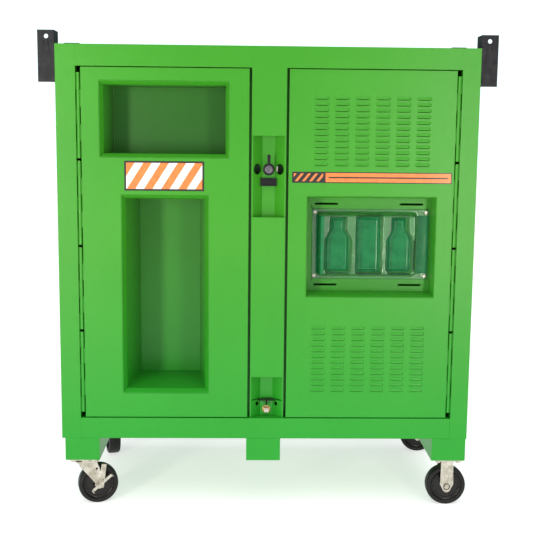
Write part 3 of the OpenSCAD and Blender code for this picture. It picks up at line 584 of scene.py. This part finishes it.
def hood_rings(x0, slit_z):
    """Pressed hood over a slit: closed and rounded above and at both ends, open below."""
    rings = []
    for step in range(HOOD_ROWS):
        t = step / (HOOD_ROWS - 1)
        rise = math.sin(t * math.pi / 2)
        z = slit_z + HOOD_H * (1 - t) - 1.5
        line = []
        for i in range(HOOD_POINTS):
            u = -1 + i / (HOOD_POINTS // 2)
            ends = (1 - abs(u) ** 5) ** 0.5
            line.append((x0 + HOOD_W / 2 * u, DOOR_Y + 0.2 - (HOOD_D + 0.2) * rise * ends, z))
        rings.append(line)
    return rings


def make_louvres():
    """Two fields of pressed hoods over the slits of the right door."""
    shape = Shape()
    firsts = [k * HOOD_POINTS + i for k in range(HOOD_ROWS - 1) for i in range(HOOD_POINTS - 1)]
    faces = [[first, first + 1, first + HOOD_POINTS + 1, first + HOOD_POINTS] for first in firsts]
    for top in LOUVRE_TOPS:
        for column in range(LOUVRE_GRID[0]):
            for line in range(LOUVRE_GRID[1]):
                x, z = LOUVRE_X0 + column * LOUVRE_PITCH[0], top - line * LOUVRE_PITCH[1]
                shape.add([p for ring in hood_rings(x, z) for p in ring], faces)
    hoods = shape.piece("louvre_hoods", "right_door", "green_paint", sharp=60)
    thicken(hoods, 1.0)


# ---- Welds ----

BEAD_PITCH = 4.2
SEAM_Y = FRONT_Y + 2.6


def bead(shape, start, end, radius):
    """Rippled weld bead along a straight run, half sunk in the seam."""
    start, end = Vector(start), Vector(end)
    along = (end - start).normalized()
    side = along.orthogonal().normalized()
    up = along.cross(side)
    count = max(6, int((end - start).length / (BEAD_PITCH / 4)))
    rings = []
    for k in range(count + 1):
        middle = start.lerp(end, k / count)
        ripple = 0.80 + 0.20 * abs(math.cos(k * math.pi / 4)) + rng.uniform(-0.04, 0.04)
        size = radius * ripple * (0.15 if k in (0, count) else 1)
        rings.append([middle + (side * math.cos(a) + up * math.sin(a)) * size
                      for a in (math.pi * i / 4 for i in range(8))])
    shape.rings(rings)


def stitches(shape, start, end, radius, length=34, gap=120):
    """Short beads spaced along a seam."""
    start, end = Vector(start), Vector(end)
    total = (end - start).length
    count = max(1, round(total / gap))
    along = (end - start).normalized()
    for k in range(count):
        middle = start.lerp(end, (k + 0.5) / count)
        bead(shape, middle - along * length / 2, middle + along * length / 2, radius)


def make_cabinet_welds():
    """Stitched beads along the shell's seams, the skids, the lifting angles and the roof edges."""
    shape = Shape()
    for x in (-691.0, 697.5):
        stitches(shape, (x, SEAM_Y, 1650), (x, SEAM_Y, 1720), 2.2, 14, 24)
        stitches(shape, (x, SEAM_Y, 282), (x, SEAM_Y, 352), 2.2, 14, 24)
    for name in ("skid_left", "skid_middle", "skid_right"):
        low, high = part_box(name)
        for x in (low.x / MM, high.x / MM):
            stitches(shape, (x, -340, high.z / MM), (x, 340, high.z / MM), 3.0)
    for name in ("lug_front_left", "lug_front_right", "lug_rear_left", "lug_rear_right"):
        low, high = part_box(name)
        x = high.x / MM if low.x < 0 else low.x / MM
        stitches(shape, (x, low.y / MM + 6, low.z / MM), (x, high.y / MM - 6, low.z / MM), 2.6, 40, 70)
    for x in (-759.0, 759.0):
        stitches(shape, (x, -360, 1724.5), (x, 360, 1724.5), 2.0, 34, 150)
    shape.piece("cabinet_welds", "cabinet", "green_paint", sharp=80)


# ---- Labels ----

def plate(shape, box, mark, thick=0.35):
    """Flat rectangle on the door's face."""
    x0, x1, z0, z1 = box
    shape.prism([(x0, z0), (x1, z0), (x1, z1), (x0, z1)], DOOR_Y, DOOR_Y - thick, mark)


def clip_x(outline, limit, keep_above):
    """Part of an (x, z) outline on one side of a vertical line."""
    kept = []
    for (ax, az), (bx, bz) in zip(outline, outline[1:] + outline[:1]):
        a_in, b_in = (ax >= limit) == keep_above, (bx >= limit) == keep_above
        if a_in:
            kept.append((ax, az))
        if a_in != b_in:
            t = (limit - ax) / (bx - ax)
            kept.append((limit, az + t * (bz - az)))
    return kept


def slanted_bands(shape, box, pitch, share, slant, mark):
    """Diagonal bands filling a box, slightly above the plate behind them."""
    x0, x1, z0, z1 = box
    x = x0 - abs(slant) - pitch
    while x < x1 + abs(slant):
        outline = [(x, z0), (x + pitch * share, z0), (x + pitch * share + slant, z1), (x + slant, z1)]
        outline = clip_x(clip_x(outline, x0, True), x1, False)
        if len(outline) > 2:
            shape.prism(outline, DOOR_Y - 0.3, DOOR_Y - 0.6, mark)
        x += pitch


def make_labels():
    """Plain hazard-stripe label on the left door and a plain orange strip on the right one."""
    shape = Shape()
    plate(shape, (-520, -231, 1205, 1313), 0)
    plate(shape, (-513, -238, 1212, 1306), 1, 0.5)
    slanted_bands(shape, (-513, -238, 1212, 1306), 62, 0.5, 60, 2)
    shape.piece("hazard_label", "left_door", "black_paint", ["label_black", "label_white", "label_orange"])
    shape = Shape()
    plate(shape, (88, 671.5, 1239, 1279), 0)
    plate(shape, (210, 668, 1242.5, 1275.5), 1, 0.5)
    slanted_bands(shape, (94, 201, 1245, 1273), 26, 0.4, 22, 1)
    shape.prism([(222, 1256.5), (656, 1256.5), (656, 1261.5), (222, 1261.5)], DOOR_Y - 0.4, DOOR_Y - 0.7, 0)
    shape.piece("orange_strip", "right_door", "black_paint", ["label_black", "label_orange"])


# ---- Studio ----

def make_camera():
    yaw, pitch, roll = (math.radians(a) for a in (CAMERA_YAW, CAMERA_PITCH, CAMERA_ROLL))
    ahead = Vector((math.sin(yaw) * math.cos(pitch), math.cos(yaw) * math.cos(pitch), -math.sin(pitch)))
    right = Vector((math.cos(yaw), -math.sin(yaw), 0))
    up = right.cross(ahead)
    turned_right = right * math.cos(roll) + up * math.sin(roll)
    turned_up = up * math.cos(roll) - right * math.sin(roll)
    data = bpy.data.cameras.new("camera")
    data.lens = LENS
    data.sensor_width = 36
    data.clip_end = 100
    camera = bpy.data.objects.new("camera", data)
    axes = Matrix((turned_right, turned_up, -ahead)).transposed().to_4x4()
    camera.matrix_world = Matrix.Translation(Vector(CAMERA_AT) * MM) @ axes
    scene.collection.objects.link(camera)
    scene.camera = camera


def make_floor():
    """Plain pale floor."""
    mesh = bpy.data.meshes.new("floor")
    corners = [(x * FLOOR_REACH, y * FLOOR_REACH, 0) for x, y in ((-1, -1), (1, -1), (1, 1), (-1, 1))]
    mesh.from_pydata(corners, [], [[0, 1, 2, 3]])
    floor = bpy.data.objects.new("floor", mesh)
    material, tree, shader, place = start_material("floor_white", 0.8)
    dull(shader, 0.1)
    shader.inputs["Emission Color"].default_value = grey(1.0)
    shader.inputs["Emission Strength"].default_value = FLOOR_GLOW
    colour_from(tree, shader, noise(tree, place, 0.6), grey(0.68), grey(0.69))
    mesh.materials.append(material)
    scene.collection.objects.link(floor)


def add_light(name, place, power):
    """Tall soft lamp aimed at the doors."""
    data = bpy.data.lights.new(name, "AREA")
    data.shape = "RECTANGLE"
    data.size = LAMP_WIDTH
    data.size_y = LAMP_HEIGHT
    data.energy = power
    data.color = LAMP_TINT
    light = bpy.data.objects.new(name, data)
    light.location = place
    light.rotation_euler = (Vector(LAMP_AIM) - Vector(place)).to_track_quat("-Z", "Y").to_euler()
    scene.collection.objects.link(light)


def make_studio():
    """White surroundings that light the object softly, two lamps beside the camera and one overhead."""
    world = bpy.data.worlds.new("studio")
    world.use_nodes = True
    tree = world.node_tree
    background = tree.nodes["Background"]
    background.inputs["Color"].default_value = ROOM_TINT
    strength = tree.nodes.new("ShaderNodeMapRange")
    strength.inputs["To Min"].default_value = ROOM_LIGHT
    strength.inputs["To Max"].default_value = BACKDROP
    tree.links.new(tree.nodes.new("ShaderNodeLightPath").outputs["Is Camera Ray"], strength.inputs["Value"])
    tree.links.new(strength.outputs["Result"], background.inputs["Strength"])
    scene.world = world
    add_light("key", KEY_AT, KEY_POWER)
    add_light("fill", FILL_AT, FILL_POWER)
    data = bpy.data.lights.new("overhead", "SUN")
    data.energy = OVERHEAD_SUN
    data.angle = math.radians(SUN_SPREAD)
    overhead = bpy.data.objects.new("overhead", data)
    overhead.rotation_euler = (math.radians(SUN_TILT), 0, 0)
    scene.collection.objects.link(overhead)
    scene.view_settings.view_transform = "Standard"


make_camera()
make_studio()
make_floor()
finish_cad_nodes()
make_wheels()
make_fork_details()
make_handle()
make_tray()
make_louvres()
make_cabinet_welds()
make_labels()
